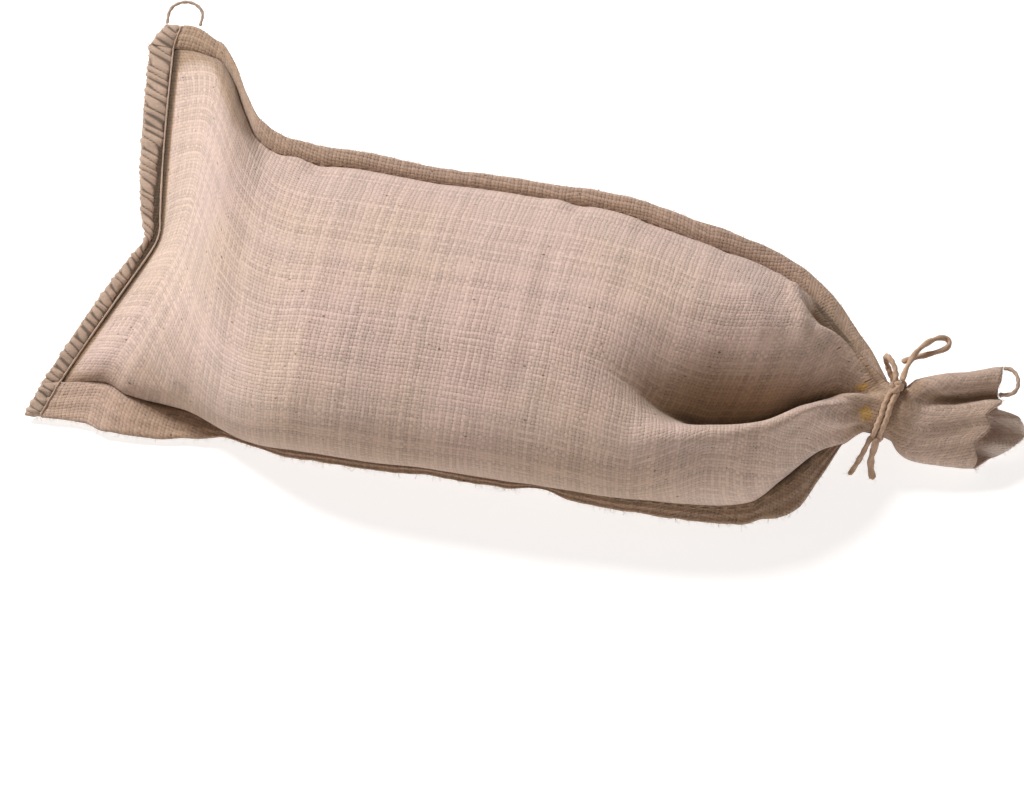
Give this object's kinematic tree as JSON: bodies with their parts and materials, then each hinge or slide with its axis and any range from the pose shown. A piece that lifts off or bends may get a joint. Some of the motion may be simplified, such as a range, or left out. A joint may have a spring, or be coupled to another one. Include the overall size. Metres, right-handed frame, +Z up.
{
  "type": "filled jute sack",
  "caption": "Filled plain-weave jute sack lying on its side, with stitched side seams, empty bottom corners and a gathered mouth tied with twine.",
  "frame": {"origin": "middle of the sack's length and width, on the surface it lies on, without the loose ends of twine and thread", "axes": "+X from the bottom seam to the tied mouth, +Y from the near side seam to the far one, +Z up"},
  "size_m": [0.7228, 0.3352, 0.1479],
  "materials": {
    "jute_cloth": "open plain weave of raw jute yarn, matte and slightly hairy",
    "jute_twine": "soft twisted jute twine, matte and hairy",
    "jute_thread": "loosely spun jute sewing thread and yarn, matte"
  },
  "bodies": {
    "root": {"sack": "jute_cloth", "tie": "jute_twine", "tie_end_top": "jute_twine", "tie_end_front": "jute_twine", "tie_end_side": "jute_twine", "thread_end": "jute_thread", "selvedge_end": "jute_thread"}
  },
  "joints": []
}
